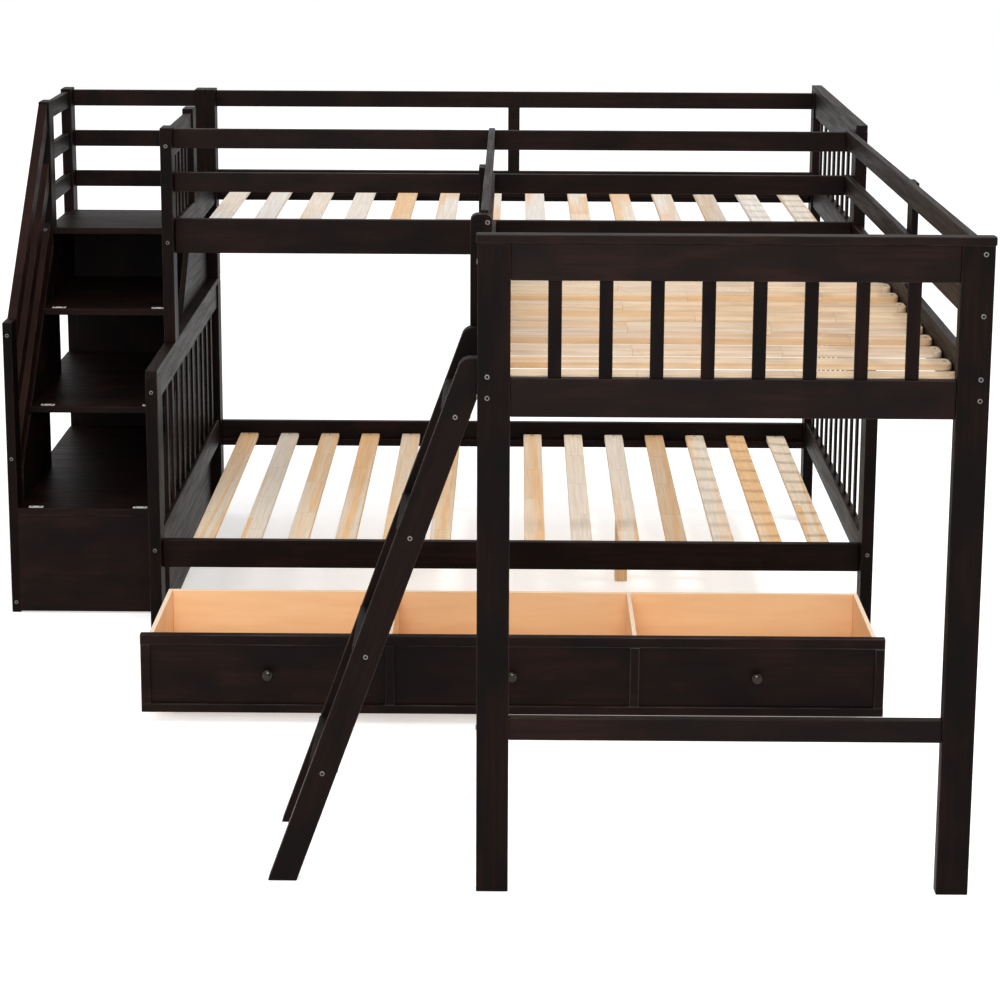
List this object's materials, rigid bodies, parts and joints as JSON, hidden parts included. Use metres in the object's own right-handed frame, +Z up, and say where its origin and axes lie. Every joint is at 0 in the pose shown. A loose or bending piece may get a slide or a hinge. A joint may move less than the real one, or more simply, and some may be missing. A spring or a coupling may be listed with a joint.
{
  "type": "bunk bed",
  "caption": "L shaped bunk bed: full bed below a twin bunk, twin loft at a right angle, stairs with open cubbies, leaning ladder and a roll-out drawer.",
  "frame": {"origin": "middle of the outline on the floor", "axes": "+X to the right along the bunk, away from the stairs; +Y from the loft's front to the bunk's back; +Z up"},
  "size_m": [2.493, 2.977, 1.465],
  "materials": {
    "espresso_wood": "dark espresso stain, satin",
    "slat_wood": "unfinished planed pine",
    "birch_ply": "clear lacquered plywood",
    "dark_metal": "dark bronze, satin",
    "caster_steel": "zinc plated",
    "caster_nylon": "matte"
  },
  "bodies": {
    "bed": {"lower_left_posts": "espresso_wood", "lower_left_cap": "espresso_wood", "lower_left_rails": "espresso_wood", "lower_left_spindles": "espresso_wood", "lower_right_posts": "espresso_wood", "lower_right_cap": "espresso_wood", "lower_right_rails": "espresso_wood", "lower_right_spindles": "espresso_wood", "lower_side_rails": "espresso_wood", "lower_ledgers": "espresso_wood", "lower_slats": "slat_wood", "lower_middle_legs": "slat_wood", "upper_left_posts": "espresso_wood", "upper_entry_post": "espresso_wood", "upper_left_rails": "espresso_wood", "upper_left_spindles": "espresso_wood", "upper_right_posts": "espresso_wood", "upper_right_cap": "espresso_wood", "upper_right_rails": "espresso_wood", "upper_right_spindles": "espresso_wood", "upper_side_rails": "espresso_wood", "upper_front_guards": "espresso_wood", "upper_back_guard": "espresso_wood", "upper_ledgers": "espresso_wood", "upper_slats": "slat_wood", "loft_posts": "espresso_wood", "loft_cap": "espresso_wood", "loft_end_rails": "espresso_wood", "loft_spindles": "espresso_wood", "loft_stretcher": "espresso_wood", "loft_side_rails": "espresso_wood", "loft_ledgers": "espresso_wood", "loft_slats": "slat_wood", "loft_guard_rails": "espresso_wood", "loft_guard_posts": "espresso_wood", "loft_gate_post": "espresso_wood", "ladder_rails": "espresso_wood", "ladder_steps": "espresso_wood", "stair_newel": "espresso_wood", "stair_tall_post": "espresso_wood", "stair_back_posts": "espresso_wood", "stair_handrails": "espresso_wood", "stair_stringer": "espresso_wood", "stair_left_panels": "espresso_wood", "stair_right_panel": "espresso_wood", "stair_front_panel": "espresso_wood", "stair_back_panel": "espresso_wood", "stair_treads": "espresso_wood", "stair_landing": "espresso_wood", "landing_guards": "espresso_wood"},
    "drawer": {"drawer_face": "espresso_wood", "drawer_front": "espresso_wood", "drawer_sides": "birch_ply", "drawer_back": "birch_ply", "drawer_bottom": "birch_ply", "drawer_dividers": "birch_ply", "drawer_knobs": "dark_metal", "caster_forks": "caster_steel"},
    "front_casters": {"front_wheels": "caster_nylon"},
    "rear_casters": {"rear_wheels": "caster_nylon"}
  },
  "joints": [
    {"name": "drawer_slide", "type": "slide", "parent": "bed", "child": "drawer", "axis": [0, 1, 0], "range_m": [0, 0.515]},
    {"name": "front_wheel_roll", "type": "hinge", "parent": "drawer", "child": "front_casters", "pos_m": [0.2395, -0.3995, 0.018], "axis": [1, 0, 0], "continuous": true},
    {"name": "rear_wheel_roll", "type": "hinge", "parent": "drawer", "child": "rear_casters", "pos_m": [0.2395, -0.1515, 0.018], "axis": [1, 0, 0], "continuous": true}
  ],
  "couplings": [
    {"joint": "front_wheel_roll", "follows": "drawer_slide", "rad_per_m": -55.556},
    {"joint": "rear_wheel_roll", "follows": "drawer_slide", "rad_per_m": -55.556}
  ]
}
